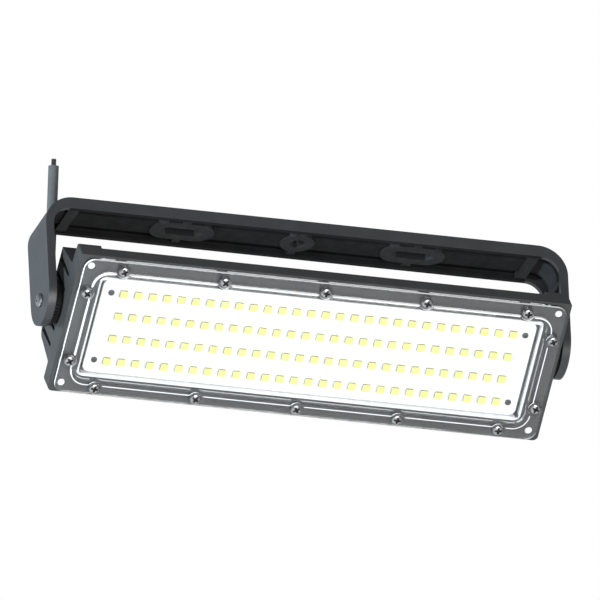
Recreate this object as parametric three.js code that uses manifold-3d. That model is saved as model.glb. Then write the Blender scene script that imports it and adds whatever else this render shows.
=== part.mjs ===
import * as THREE from 'three';
import { mergeVertices } from 'three/addons/utils/BufferGeometryUtils.js';
import Module from 'manifold-3d';

const wasm = await Module();
wasm.setup();

// An LED flood light: a finned lamp head that tilts between the arms of a cast U-shaped bracket.
// Millimetres. The bracket's frame has X along the lamp, Y to the rear and Z up, with the origin at
// the centre of the bracket's top face. The lamp head's frame has X along the lamp, Y across it and
// Z from the front of its flange to its back.

// Clearances
const seatGap = 0.3; // between pieces that rest on each other
const holeGap = 0.3; // around a shank, a wire or a plug, on the radius
const overrun = 2; // how far a cut runs past the face that it opens
const joinDepth = 0.6; // how far two joined shapes of one casting run into each other

// Lamp housing
const housing = {
  length: 340,
  width: 104,
  depth: 42,
  flangeDepth: 10.5, // between the end blocks
  flangeUpperDepth: 13.9, // on an end block, at its upper edge
  flangeLowerDepth: 12.4, // on an end block, at its lower edge
  flangeUpperCorner: 1.2,
  flangeLowerCorner: 3.5,
  flangeEdgeRound: 4, // rear lower edge of an end block's flange
  endBlockLength: 16,
  bodyWidth: 73, // where the body leaves the flange
  bodyTipWidth: 67, // at the back
  bodyRoot: 15.5, // depth where fins and slots begin
  bodyFillet: 2, // between an end block's flange and its body
  backRound: 8, // rear lower corner of the end blocks
  pivotDepth: 27, // from the flange's front to the tilt axis
};
const finSizes = { count: 9, tip: 1.8, root: 2.8, setback: 4, airGap: 6, bays: 4 };
const endSlots = { offsets: [15, 26.7], rootWidth: 2.4, backWidth: 4.2, backWeb: 2 };

// LED board, its pad and its screws
const board = {
  endInset: 20, // from the ends of the housing
  sideInset: 17,
  thickness: 1.6,
  corner: 3,
  face: 1.2, // depth of its face behind the flange's front
  endGap: 2.6, // around it in its pocket
  sideGap: 0.5,
};
const led = { size: 5, height: 1.2, columnPitch: 10, rowPitch: 17, endInset: 10, sideInset: 1 };
const pad = { thickness: 0.5, inset: 2 };
const lip = { width: 1, height: 1, corner: 4 };
const boardScrew = {
  endInset: 6.5, // from the board's edges
  sideInset: 9.5,
  headRadius: 2.1,
  headHeight: 0.9,
  shankRadius: 1.25,
  shankLength: 7,
  sides: 12,
};

// Clear cover and its screws, gasket and corner plugs
const cover = {
  endInset: 3, // from the edges of the housing
  sideInset: 1.7,
  flange: 3.3,
  corner: 7,
  rimLength: 7.8, // flat rim between the cover's edge and the raised window, at its ends
  rimWidth: 7.9,
  windowCorner: 11,
  height: 6,
  wall: 3,
  scallop: 4.8, // radius of the hollow around each screw
  scallopWall: 1.4,
};
const coverScrew = {
  headRadius: 4,
  headHeight: 2.9,
  shankRadius: 2,
  shankLength: 12,
  sides: 12,
  longCount: 5,
  longInset: 27, // from the cover's end to the outermost screw of a long side
  sideInset: 5.9, // from the cover's edge to the screws of a long side
  endInset: 5.4, // from the cover's edge to the screws of an end
  endSpacing: 51.4,
};
const crossRecess = { widthShare: 0.28, lengthShare: 0.55, depthShare: 0.6 };
const panHeadShares = [[0, 1], [0.55, 0.93], [0.86, 0.7], [1, 0.3], [1, 0]];
const buttonHeadShares = [[0, 1], [0.6, 0.92], [0.88, 0.6], [1, 0.15], [1, 0]];
const hexagonSides = 6;
const gasket = { width: 3, thickness: 1.5, inset: 0.7 };
const plug = { endInset: 8, sideInset: 7.6, radius: 2.4, length: 6, chamfer: 0.3 };

// Bracket
const bracket = {
  width: 40,
  armThickness: 5.5,
  sideGap: 5.5, // between an arm and the end of the housing
  headClearance: 1.7, // between the rims and the corners of the turning head
  rimHeight: 8.1,
  rimThickness: 3.5,
  railDepth: 5.7, // from the top face to the underside of the rail
  railWidth: 17,
  railArmDepth: 4.2,
  pocketLedge: 0.6, // between a pocket and the rim beside it
  floor: 3.5,
  armFloor: 2.6,
  corner: 20,
  innerCorner: 12,
  endRib: 3, // between the channel's pockets and the recess in an arm
  armRecess: 2.9,
  armEndRise: 3.2, // from the tilt axis up to the centre of an arm's round end
  pivotBoss: 18,
};
const crossRib = { width: 6.5, endWidth: 9.5, endInset: 16 }; // the end ribs, from the arms' inner faces
const centreHole = { radius: 5.2, bossRadius: 11.5 };
const mountSlot = { offset: 80, length: 28, width: 9, bossLength: 44, bossWidth: 23 };

// Pivot bolts and toothed discs
const pivotBolt = {
  headRadius: 5.2,
  headHeight: 3.1,
  shankRadius: 3,
  grip: 12, // length in the housing
  socketAcross: 4,
  socketDepth: 1.8,
  sides: 20,
};
const toothedDisc = { radius: 16, toothDepth: 1.2, teeth: 40, crown: 2.6, hubRadius: 14.4 };
const toothShares = [[0, -0.35], [1, -0.15], [1, 0.15], [0, 0.35]]; // of a tooth's depth and pitch

// Cable gland, wires and cable
const gland = {
  endInset: 17, // from the edges of the housing
  sideInset: 20.5,
  bossRadius: 9.5,
  threadRadius: 6,
  threadLength: 8,
  hexAcross: 15,
  hexHeight: 5,
  neckLength: 8,
  nutRadius: 7.4,
  nutLength: 18.4,
  nutWall: 1.4,
  nutRibs: 12,
  ribDepth: 0.4,
  mouthLength: 6,
  sealBore: 2.4,
  wellFloor: 10.5,
};
const wire = {
  radius: 0.8,
  spacing: 2.2,
  exitShift: 4.5, // from the gland's axis towards the middle
  exitRadius: 2.6,
  bendStart: 28,
  bendEnd: 16,
  sides: 6,
  steps: 14,
};
const cable = { radius: 3.5, coreRadius: 1.7, coreLength: 4.8, sides: 12, steps: 18, coreSteps: 1 };

// The stub of cable, from the point of the gland's axis at the housing's back
const cableRoute = [
  [0, 0, 18],
  [0, 0, 22.5],
  [0, 0, 27],
  [0, 0, 31.4],
  [0, 0, 35.8],
  [0, -0.9, 43.6],
  [0, -3.4, 50.9],
  [0, -7.2, 57.3],
  [0, -12.1, 62.4],
  [0, -18.2, 67.7],
  [0, -25.8, 74.2],
  [0, -34.9, 82.1],
  [0, -44, 89.9],
  [0, -53.1, 97.8],
  [0, -59.7, 103.5],
  [0, -66.3, 109.2],
];

// Pose of the lamp head: degrees that its front is turned forward from straight down
const restTilt = 34.17;

// Steps along round edges, and the distance within which a mesh's corners are one corner
const cornerSteps = 5;
const holeSides = 12;
const fineSides = 20;
const mergeDistance = 1e-4;

// Sizes that follow from the ones above
const swingRadius = Math.hypot(housing.width / 2, housing.pivotDepth);
const pivotDrop = bracket.rimHeight + bracket.headClearance + swingRadius;
const armInner = housing.length / 2 + bracket.sideGap;
const armOuter = armInner + bracket.armThickness;
const boardLength = housing.length - 2 * board.endInset;
const boardWidth = housing.width - 2 * board.sideInset;
const ledColumns = Math.round((boardLength - 2 * led.endInset) / led.columnPitch);
const ledRows = Math.round((boardWidth - 2 * led.sideInset) / led.rowPitch);
const boardBack = board.face + board.thickness;
const padFront = boardBack + seatGap;
const pocketFloor = padFront + pad.thickness + seatGap;
const pocketLength = boardLength + 2 * board.endGap;
const pocketWidth = boardWidth + 2 * board.sideGap;
const coverLength = housing.length - 2 * cover.endInset;
const coverWidth = housing.width - 2 * cover.sideInset;
const windowLength = coverLength - 2 * cover.rimLength;
const windowWidth = coverWidth - 2 * cover.rimWidth;
const coverBack = -seatGap;
const coverFlangeFront = coverBack - cover.flange;
const coverFront = coverBack - cover.height;
const grooveDepth = gasket.thickness + seatGap;
const gasketLength = windowLength - 2 * gasket.inset;
const gasketWidth = windowWidth - 2 * gasket.inset;
const shankHole = coverScrew.shankRadius + holeGap;
const plugHole = plug.radius + holeGap;
const finSpan = housing.length - 2 * housing.endBlockLength;
const finDepth = housing.depth - finSizes.setback;
const glandX = gland.endInset - housing.length / 2;
const glandY = housing.width / 2 - gland.sideInset;
const wireX = glandX + wire.exitShift;
const glandSeat = housing.depth + seatGap;
const nutSeat = glandSeat + gland.hexHeight + seatGap;
const sealBack = glandSeat + gland.hexHeight + gland.neckLength + seatGap;
const sealLength = nutSeat + gland.nutLength - gland.mouthLength - seatGap - sealBack;

const signs = [-1, 1];

// A closed geometry as a solid, with its double corners merged
function solid(geometry) {
  const bare = new THREE.BufferGeometry();
  bare.setAttribute('position', geometry.getAttribute('position').clone());
  bare.setIndex(geometry.index);
  const merged = mergeVertices(bare, mergeDistance);
  const corners = merged.index.array;
  const kept = [];
  for (let i = 0; i < corners.length; i += 3) {
    const [a, b, c] = [corners[i], corners[i + 1], corners[i + 2]];
    if (a !== b && b !== c && c !== a) kept.push(a, b, c);
  }
  const triVerts = new Uint32Array(kept);
  const vertProperties = merged.attributes.position.array;
  return new wasm.Manifold(new wasm.Mesh({ numProp: 3, vertProperties, triVerts }));
}

// A solid as a geometry
function surface(shape) {
  const { vertProperties, triVerts } = shape.getMesh();
  const geometry = new THREE.BufferGeometry();
  geometry.setAttribute('position', new THREE.BufferAttribute(vertProperties, 3));
  geometry.setIndex(new THREE.BufferAttribute(triVerts, 1));
  const flat = geometry.toNonIndexed();
  flat.computeVertexNormals();
  return flat;
}

const join = (solids) => solids.reduce((whole, next) => whole.add(next));
const cut = (whole, tools) => tools.reduce((rest, tool) => rest.subtract(tool), whole);

// An outline in X and Y, run along Z
function prism(outline, from, to) {
  const geometry = new THREE.ExtrudeGeometry(outline, {
    depth: to - from,
    bevelEnabled: false,
    curveSegments: cornerSteps,
  });
  return geometry.translate(0, 0, from);
}

function box(from, to) {
  const size = to.map((end, axis) => end - from[axis]);
  const centre = to.map((end, axis) => (end + from[axis]) / 2);
  return new THREE.BoxGeometry(...size).translate(...centre);
}

function polygon(points) {
  return new THREE.Shape(points.map(([x, y]) => new THREE.Vector2(x, y)));
}

function circle(x, y, radius, sides = holeSides) {
  const points = [];
  for (let i = 0; i < sides; i += 1) {
    const angle = (2 * Math.PI * (i + 0.5)) / sides;
    points.push([x + radius * Math.cos(angle), y + radius * Math.sin(angle)]);
  }
  return polygon(points);
}

// A hexagon, measured across its flats
function hexagon(across) {
  return circle(0, 0, across / (2 * Math.cos(Math.PI / hexagonSides)), hexagonSides);
}

// A rectangle with round corners, whose corners towards minus Y may have a radius of their own
function roundedRectangle(length, width, radius, { x = 0, low = radius } = {}) {
  const [halfX, halfY] = [length / 2, width / 2];
  const shape = new THREE.Shape();
  shape.moveTo(x + halfX, -halfY + low);
  shape.absarc(x + halfX - radius, halfY - radius, radius, 0, Math.PI / 2);
  shape.absarc(x - halfX + radius, halfY - radius, radius, Math.PI / 2, Math.PI);
  shape.absarc(x - halfX + low, -halfY + low, low, Math.PI, 1.5 * Math.PI);
  shape.absarc(x + halfX - low, -halfY + low, low, 1.5 * Math.PI, 2 * Math.PI);
  return shape;
}

// A profile of radius and height, turned about Z
function turned(profile, sides) {
  const points = profile.map(([radius, height]) => new THREE.Vector2(radius, height));
  return new THREE.LatheGeometry(points, sides).rotateX(Math.PI / 2);
}

// An outline in Y and Z, run along X
function acrossPrism(outline, from, to) {
  return prism(outline, from, to).applyMatrix4(
    new THREE.Matrix4().makeBasis(
      new THREE.Vector3(0, 1, 0),
      new THREE.Vector3(0, 0, 1),
      new THREE.Vector3(1, 0, 0),
    ),
  );
}

// An outline in X and Z, run along Y
function throughPrism(outline, from, to) {
  return prism(outline, -to, -from).rotateX(Math.PI / 2);
}

// Space under a U-shaped wall: its roof lies drop below the top, and its sides lie inset from the ends
function underside(drop, inset, radius, floor) {
  const half = armOuter - inset;
  const shape = new THREE.Shape();
  shape.moveTo(-half, floor);
  shape.lineTo(half, floor);
  shape.absarc(half - radius, -drop - radius, radius, 0, Math.PI / 2);
  shape.absarc(-half + radius, -drop - radius, radius, Math.PI / 2, Math.PI);
  return shape;
}

// The cast bracket: a U with a channelled underside, cross ribs, bosses and recessed arms
function makeBracket() {
  const half = bracket.width / 2;
  const innerHalf = half - bracket.rimThickness;
  const railHalf = bracket.railWidth / 2;
  const endCentre = -pivotDrop + bracket.armEndRise;
  const armEnd = endCentre - half;
  const belowArms = armEnd - overrun;
  const channelEnd = -bracket.corner - bracket.endRib;

  const outer = throughPrism(underside(0, 0, bracket.corner, armEnd), -half, half);
  const inside = underside(bracket.rimHeight, bracket.armThickness, bracket.innerCorner, belowArms);
  const aroundEnd = new THREE.Shape();
  aroundEnd.moveTo(half + overrun, endCentre);
  aroundEnd.lineTo(half, endCentre);
  aroundEnd.absarc(0, endCentre, half, 0, -Math.PI, true);
  aroundEnd.lineTo(-half - overrun, endCentre);
  aroundEnd.lineTo(-half - overrun, belowArms);
  aroundEnd.lineTo(half + overrun, belowArms);
  const endCut = acrossPrism(aroundEnd, -armOuter - overrun, armOuter + overrun);
  const blank = solid(outer)
    .subtract(solid(throughPrism(inside, -half - overrun, half + overrun)))
    .subtract(solid(endCut));

  const railInset = bracket.railArmDepth;
  const rail = underside(bracket.railDepth, railInset, bracket.innerCorner, channelEnd);
  const floor = underside(bracket.floor, bracket.armFloor, bracket.innerCorner, channelEnd);
  const channel = solid(throughPrism(rail, -innerHalf, innerHalf));
  const ribs = [-1, 0, 1].map((side) => ({ x: side * mountSlot.offset, width: crossRib.width }));
  const endRibX = armInner - crossRib.endInset;
  const endRibs = signs.map((side) => ({ x: side * endRibX, width: crossRib.endWidth }));
  const ribSolids = [...ribs, ...endRibs].map(({ x, width }) =>
    solid(box([x - width / 2, -half, -bracket.corner], [x + width / 2, half, 0])),
  );
  const bossOutlines = [
    circle(0, 0, centreHole.bossRadius, fineSides),
    ...signs.map((side) =>
      roundedRectangle(mountSlot.bossLength, mountSlot.bossWidth, mountSlot.bossWidth / 2, {
        x: side * mountSlot.offset,
      }),
    ),
  ];
  const bosses = bossOutlines.map((outline) => solid(prism(outline, -bracket.corner, 0)));
  const pockets = signs.map((side) => {
    const far = innerHalf - bracket.pocketLedge;
    const edges = [side * railHalf, side * far].sort((a, b) => a - b);
    return cut(solid(throughPrism(floor, ...edges)), [...ribSolids, ...bosses]);
  });

  const recesses = signs.map((side) => {
    const faces = [side * (armInner - overrun), side * (armInner + bracket.armRecess)];
    const [from, to] = faces.sort((a, b) => a - b);
    const top = channelEnd - bracket.endRib;
    const panel = box([from, -innerHalf, -pivotDrop], [to, innerHalf, top]);
    const boss = acrossPrism(circle(0, -pivotDrop, bracket.pivotBoss, fineSides), from, to);
    return solid(panel).subtract(solid(boss));
  });

  const holes = [
    prism(circle(0, 0, centreHole.radius, fineSides), -bracket.corner, overrun),
    ...signs.map((side) => {
      const { length, width, offset } = mountSlot;
      const outline = roundedRectangle(length, width, width / 2, { x: side * offset });
      return prism(outline, -bracket.corner, overrun);
    }),
    ...signs.map((side) => {
      const bore = circle(0, -pivotDrop, pivotBolt.shankRadius + holeGap);
      const faces = [side * (armInner - overrun), side * (armOuter + overrun)];
      return acrossPrism(bore, ...faces.sort((a, b) => a - b));
    }),
  ];
  return surface(cut(blank, [channel, ...pockets, ...recesses, ...holes.map(solid)]));
}

// The four places at these insets from the edges of a centred rectangle
function cornerPlaces(length, width, { endInset, sideInset }) {
  const x = length / 2 - endInset;
  const y = width / 2 - sideInset;
  return signs.flatMap((end) => signs.map((side) => [end * x, side * y]));
}

// Places of the cover screws, in the lamp head's frame
function coverScrewPlaces() {
  const { longCount, longInset, sideInset, endInset, endSpacing } = coverScrew;
  const pitch = (coverLength - 2 * longInset) / (longCount - 1);
  const places = [];
  for (const side of signs) {
    for (let i = 0; i < longCount; i += 1) {
      const x = (i - (longCount - 1) / 2) * pitch;
      places.push([x, side * (coverWidth / 2 - sideInset)]);
    }
  }
  return [...places, ...cornerPlaces(coverLength, endSpacing, { endInset, sideInset: 0 })];
}

const plugPlaces = cornerPlaces(housing.length, housing.width, plug);
const boardScrewPlaces = cornerPlaces(boardLength, boardWidth, boardScrew);

// Cross section of a housing end block, in Y and Z, with the slots between its thick fins
function endBlockOutline() {
  const half = housing.width / 2;
  const root = housing.bodyWidth / 2;
  const tip = housing.bodyTipWidth / 2;
  const outline = new THREE.Shape();
  outline.moveTo(-half, 0);
  outline.lineTo(half, 0);
  const { bodyRoot, depth, backRound, bodyFillet, flangeEdgeRound, flangeLowerDepth } = housing;
  outline.lineTo(half, flangeLowerDepth - flangeEdgeRound);
  outline.quadraticCurveTo(half, flangeLowerDepth, half - flangeEdgeRound, flangeLowerDepth);
  outline.lineTo(root + bodyFillet, flangeLowerDepth);
  outline.quadraticCurveTo(root, flangeLowerDepth, root, bodyRoot);
  outline.lineTo(tip, depth - backRound);
  outline.quadraticCurveTo(tip, depth, tip - backRound, depth);
  outline.lineTo(-tip, depth);
  outline.lineTo(-root, bodyRoot);
  outline.lineTo(-half, housing.flangeUpperDepth);
  return outline;
}

// Cross section of the finned body between the end blocks, in Y and Z
function finOutline() {
  const root = housing.bodyWidth / 2;
  const pitch = (housing.bodyWidth - finSizes.root) / (finSizes.count - 1);
  const front = housing.flangeDepth - joinDepth;
  const points = [[-root, front], [root, front]];
  for (let i = finSizes.count - 1; i >= 0; i -= 1) {
    const y = (i - (finSizes.count - 1) / 2) * pitch;
    points.push([y + finSizes.root / 2, housing.bodyRoot]);
    points.push([y + finSizes.tip / 2, finDepth]);
    points.push([y - finSizes.tip / 2, finDepth]);
    points.push([y - finSizes.root / 2, housing.bodyRoot]);
  }
  return polygon(points);
}

// The outline of a frame with round corners
function ring(length, width, wall, corner) {
  const outline = roundedRectangle(length, width, corner);
  outline.holes.push(roundedRectangle(length - 2 * wall, width - 2 * wall, corner - wall));
  return outline;
}

// The die-cast housing: flange with the board's pocket, finned body, end blocks and gland boss
function makeHousing() {
  const half = housing.length / 2;
  const flange = roundedRectangle(housing.length, housing.width, housing.flangeLowerCorner, {
    low: housing.flangeUpperCorner,
  });
  const mask = prism(flange, -overrun, housing.depth + overrun);
  const blocks = signs.map((end) => {
    const faces = [end * (half - housing.endBlockLength), end * half];
    return solid(acrossPrism(endBlockOutline(), ...faces.sort((a, b) => a - b)));
  });
  const body = solid(acrossPrism(finOutline(), -finSpan / 2 - joinDepth, finSpan / 2 + joinDepth));
  const bossOutline = circle(glandX, glandY, gland.bossRadius, fineSides);
  const glandBoss = solid(prism(bossOutline, housing.flangeDepth - joinDepth, housing.depth));
  const lipLength = pocketLength + 2 * lip.width;
  const lipWidth = pocketWidth + 2 * lip.width;
  const lipWall = prism(roundedRectangle(lipLength, lipWidth, lip.corner), -lip.height, pocketFloor);

  const slots = endSlots.offsets.flatMap((offset) =>
    signs.map((side) => {
      const outline = polygon([
        [side * offset - endSlots.rootWidth / 2, housing.bodyRoot],
        [side * offset + endSlots.rootWidth / 2, housing.bodyRoot],
        [side * offset + endSlots.backWidth / 2, housing.depth - endSlots.backWeb],
        [side * offset - endSlots.backWidth / 2, housing.depth - endSlots.backWeb],
      ]);
      return solid(acrossPrism(outline, -half - overrun, half + overrun));
    }),
  );
  const bays = [];
  for (let i = 1; i < finSizes.bays; i += 1) {
    const x = (i / finSizes.bays - 1 / 2) * finSpan;
    const [from, to] = [x - finSizes.airGap / 2, x + finSizes.airGap / 2];
    bays.push(solid(box([from, -half, housing.bodyRoot], [to, half, housing.depth + overrun])));
  }
  const cast = join([
    cut(join(blocks), slots),
    cut(body, bays),
    solid(prism(flange, 0, housing.flangeDepth)),
    solid(lipWall),
    glandBoss,
  ]).intersect(solid(mask));

  const pocketOutline = roundedRectangle(pocketLength, pocketWidth, lip.corner - lip.width);
  const pocket = prism(pocketOutline, -lip.height - overrun, pocketFloor);
  const grooveOutline = ring(
    gasketLength + 2 * seatGap,
    gasketWidth + 2 * seatGap,
    gasket.width + 2 * seatGap,
    cover.windowCorner,
  );
  const groove = prism(grooveOutline, -overrun, grooveDepth);
  const screwHoleEnd = coverFlangeFront + coverScrew.shankLength;
  const screwHoles = coverScrewPlaces().map(([x, y]) =>
    prism(circle(x, y, shankHole, coverScrew.sides), -overrun, screwHoleEnd),
  );
  const plugHoleEnd = plug.length + seatGap;
  const plugHoles = plugPlaces.map(([x, y]) =>
    prism(circle(x, y, plugHole), -overrun, plugHoleEnd),
  );
  const boardScrewEnd = board.face + boardScrew.shankLength;
  const boardHoles = boardScrewPlaces.map(([x, y]) =>
    prism(circle(x, y, boardScrew.shankRadius + holeGap), 0, boardScrewEnd),
  );
  const pivotHoles = signs.map((end) => {
    const bore = circle(0, housing.pivotDepth, pivotBolt.shankRadius + holeGap, pivotBolt.sides);
    const faces = [end * (half - pivotBolt.grip - seatGap), end * (half + overrun)];
    return acrossPrism(bore, ...faces.sort((a, b) => a - b));
  });
  const well = prism(
    circle(glandX, glandY, gland.threadRadius + holeGap, fineSides),
    gland.wellFloor,
    housing.depth + overrun,
  );
  const wireHole = prism(circle(wireX, glandY, wire.exitRadius), 0, gland.wellFloor + overrun);
  const tools = [
    pocket, groove, ...screwHoles, ...plugHoles, ...boardHoles, ...pivotHoles, well, wireHole,
  ];
  return surface(cut(cast, tools.map(solid)));
}

// The clear cover: a flange, a raised hollow window, and a scallop round each screw
function makeCover() {
  const window = roundedRectangle(windowLength, windowWidth, cover.windowCorner);
  const hollow = roundedRectangle(
    windowLength - 2 * cover.wall,
    windowWidth - 2 * cover.wall,
    cover.windowCorner - cover.wall,
  );
  const places = coverScrewPlaces();
  const ringed = (radius, from, to) =>
    places.map(([x, y]) => solid(prism(circle(x, y, radius, fineSides), from, to)));
  const raised = cut(
    solid(prism(window, coverFront, coverBack)),
    ringed(cover.scallop, coverFront - overrun, coverFlangeFront),
  );
  const roof = coverFront + cover.wall;
  const cavity = cut(
    solid(prism(hollow, roof, coverBack + overrun)),
    ringed(cover.scallop + cover.scallopWall, roof - overrun, coverBack + 2 * overrun),
  );
  const flange = roundedRectangle(coverLength, coverWidth, cover.corner);
  const holes = places.map(([x, y]) =>
    solid(prism(circle(x, y, shankHole, coverScrew.sides), coverFront - overrun, coverBack + overrun)),
  );
  const whole = raised.add(solid(prism(flange, coverFlangeFront, coverBack)));
  return surface(cut(whole, [cavity, ...holes]));
}

// The gasket, its front at Z zero
function makeGasket() {
  const outline = ring(gasketLength, gasketWidth, gasket.width, cover.windowCorner - seatGap);
  return prism(outline, 0, gasket.thickness);
}

// The LED board: one plate with its rows of LED packages
function makeBoard() {
  const plate = roundedRectangle(boardLength, boardWidth, board.corner);
  for (const [x, y] of boardScrewPlaces) {
    plate.holes.push(circle(x, y, boardScrew.shankRadius + holeGap));
  }
  const leds = [];
  for (let row = 0; row < ledRows; row += 1) {
    for (let column = 0; column < ledColumns; column += 1) {
      const x = (column - (ledColumns - 1) / 2) * led.columnPitch;
      const y = (row - (ledRows - 1) / 2) * led.rowPitch;
      const near = [x - led.size / 2, y - led.size / 2, board.face - led.height];
      const far = [x + led.size / 2, y + led.size / 2, board.face + joinDepth];
      leds.push(solid(box(near, far)));
    }
  }
  return surface(join([solid(prism(plate, board.face, boardBack)), ...leds]));
}

// The thermal pad behind the board, with a notch for the wires
function makePad() {
  const length = boardLength - 2 * pad.inset;
  const width = boardWidth - 2 * pad.inset;
  const outline = roundedRectangle(length, width, board.corner);
  for (const [x, y] of boardScrewPlaces) {
    outline.holes.push(circle(x, y, boardScrew.shankRadius + holeGap));
  }
  const plate = solid(prism(outline, padFront, padFront + pad.thickness));
  const notch = circle(wireX, glandY, wire.exitRadius + pad.inset);
  return surface(plate.subtract(solid(prism(notch, 0, pocketFloor))));
}

// A pan head screw with a cross recess, its head towards the front, seated at Z zero
function makePanScrew(size) {
  const { headRadius, headHeight, shankRadius, shankLength, sides } = size;
  const profile = [
    ...panHeadShares.map(([out, up]) => [headRadius * out, -headHeight * up]),
    [shankRadius, 0],
    [shankRadius, shankLength],
    [0, shankLength],
  ];
  const reach = headRadius * crossRecess.lengthShare;
  const blade = (headRadius * crossRecess.widthShare) / 2;
  const floor = -headHeight * (1 - crossRecess.depthShare);
  const top = -headHeight - overrun;
  const blades = [
    box([-reach, -blade, top], [reach, blade, floor]),
    box([-blade, -reach, top], [blade, reach, floor]),
  ];
  return surface(cut(solid(turned(profile, sides)), blades.map(solid)));
}

// A round plug with a chamfered front edge, its front at Z zero
function makePlug() {
  return turned(
    [
      [0, 0],
      [plug.radius - plug.chamfer, 0],
      [plug.radius, plug.chamfer],
      [plug.radius, plug.length],
      [0, plug.length],
    ],
    holeSides,
  );
}

// A button head bolt with a hexagon socket, its head's underside at Z zero
function makePivotBolt() {
  const { headRadius, headHeight, shankRadius, sides } = pivotBolt;
  const shankLength = pivotBolt.grip + bracket.sideGap + bracket.armThickness + seatGap;
  const profile = [
    ...buttonHeadShares.map(([out, up]) => [headRadius * out, -headHeight * up]),
    [shankRadius, 0],
    [shankRadius, shankLength],
    [0, shankLength],
  ];
  const socket = hexagon(pivotBolt.socketAcross);
  const hole = prism(socket, -headHeight - overrun, -headHeight + pivotBolt.socketDepth);
  return surface(solid(turned(profile, sides)).subtract(solid(hole)));
}

// A disc with a toothed crown on a plain hub and a bore for the pivot bolt, from Z zero up
function makeToothedDisc() {
  const { radius, toothDepth, teeth, crown, hubRadius } = toothedDisc;
  const thickness = bracket.sideGap - 2 * seatGap;
  const points = [];
  for (let i = 0; i < teeth; i += 1) {
    for (const [rise, turn] of toothShares) {
      const reach = radius - toothDepth * (1 - rise);
      const angle = (2 * Math.PI * (i + turn)) / teeth;
      points.push([reach * Math.cos(angle), reach * Math.sin(angle)]);
    }
  }
  const bore = circle(0, 0, pivotBolt.shankRadius + holeGap, pivotBolt.sides);
  const disc = join([
    solid(prism(polygon(points), thickness - crown, thickness)),
    solid(prism(circle(0, 0, hubRadius, teeth), 0, thickness)),
  ]);
  return surface(disc.subtract(solid(prism(bore, -overrun, thickness + overrun))));
}

// The gland's body: thread in the boss, hexagon on it and a hollow neck, hexagon's seat at Z zero
function makeGlandBody() {
  const round = circle(0, 0, gland.threadRadius, fineSides);
  const stack = join([
    solid(prism(round, -gland.threadLength, gland.hexHeight + gland.neckLength)),
    solid(prism(hexagon(gland.hexAcross), 0, gland.hexHeight)),
  ]);
  const bore = prism(
    circle(0, 0, gland.sealBore, fineSides),
    -gland.threadLength - overrun,
    gland.hexHeight + gland.neckLength + overrun,
  );
  return surface(stack.subtract(solid(bore)));
}

// The gland's domed nut: ribbed grip, a wide bore for neck and seal, and a mouth for the cable
function makeGlandNut() {
  const inner = gland.threadRadius + holeGap;
  const mouth = cable.radius + holeGap;
  const shoulder = gland.nutLength - gland.mouthLength;
  const dome = turned(
    [
      [inner, 0],
      [gland.nutRadius, 0],
      [gland.nutRadius, shoulder],
      [gland.nutRadius - gland.nutWall, gland.nutLength - gland.nutWall],
      [mouth + gland.nutWall, gland.nutLength],
      [mouth, gland.nutLength],
      [mouth, shoulder],
      [inner, shoulder],
      [inner, 0],
    ],
    fineSides,
  );
  const ribs = [];
  for (let i = 0; i < gland.nutRibs; i += 1) {
    const blade = box(
      [gland.nutRadius - joinDepth, -gland.ribDepth, 0],
      [gland.nutRadius + gland.ribDepth, gland.ribDepth, shoulder],
    );
    ribs.push(solid(blade.rotateZ((2 * Math.PI * i) / gland.nutRibs)));
  }
  return surface(join([solid(dome), ...ribs]));
}

// The rubber seal that grips the cable, from Z zero up
function makeSeal() {
  const outline = circle(0, 0, gland.threadRadius, fineSides);
  outline.holes.push(circle(0, 0, gland.sealBore, fineSides));
  return prism(outline, 0, sealLength);
}

// A round tube through the points
function tube(points, radius, sides, steps) {
  const path = new THREE.CatmullRomCurve3(
    points.map((point) => new THREE.Vector3(...point)),
    false,
    'centripetal',
  );
  return new THREE.ExtrudeGeometry(circle(0, 0, radius, sides), {
    steps,
    bevelEnabled: false,
    extrudePath: path,
  });
}

// One lead wire, from the seal through the gland and the well to the back of the board
function makeWire(side) {
  const y = glandY + (side * wire.spacing) / 2;
  return tube(
    [
      [glandX, y, sealBack + seatGap],
      [glandX, y, wire.bendStart],
      [(glandX + wireX) / 2, y, (wire.bendStart + wire.bendEnd) / 2],
      [wireX, y, wire.bendEnd],
      [wireX, y, boardBack + seatGap],
    ],
    wire.radius,
    wire.sides,
    wire.steps,
  );
}

// The bare core at the cable's cut end, in line with the last stretch of the route
function makeCore() {
  const end = new THREE.Vector3(...cableRoute.at(-1));
  const before = new THREE.Vector3(...cableRoute.at(-2));
  const along = end.clone().sub(before).normalize();
  const from = end.clone().addScaledVector(along, seatGap);
  const to = end.clone().addScaledVector(along, cable.coreLength);
  return tube([from.toArray(), to.toArray()], cable.coreRadius, cable.sides, cable.coreSteps);
}

// Materials
const finish = (color, roughness, metalness) =>
  new THREE.MeshStandardMaterial({ color, roughness, metalness });
const greyPaint = finish(0x4a4c4e, 0.55, 0.2);
const greyCast = finish(0x55595c, 0.5, 0.3);
const steel = finish(0xb8babc, 0.3, 0.9);
const blackSteel = finish(0x2a2a2a, 0.5, 0.6);
const clear = new THREE.MeshStandardMaterial({
  color: 0xe8eef0, roughness: 0.1, metalness: 0, transparent: true, opacity: 0.3,
});
const silicone = finish(0x34363a, 0.7, 0);
const whiteBoard = finish(0xf4f4f0, 0.6, 0);
const padGrey = finish(0x8a8f94, 0.8, 0);
const whiteNylon = finish(0xf0f0ee, 0.5, 0);
const blackNylon = finish(0x2c2e30, 0.5, 0);
const rubber = finish(0x222222, 0.9, 0);
const redWire = finish(0xa02018, 0.5, 0);
const blackWire = finish(0x181818, 0.5, 0);
const greyCable = finish(0x8c9498, 0.5, 0);
const copper = finish(0xa8a8a4, 0.4, 0.7);

const lamp = new THREE.Group();
lamp.position.set(0, 0, -pivotDrop);
lamp.rotation.x = THREE.MathUtils.degToRad(-restTilt);
const head = new THREE.Group();
head.position.z = -housing.pivotDepth;
lamp.add(head);

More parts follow.
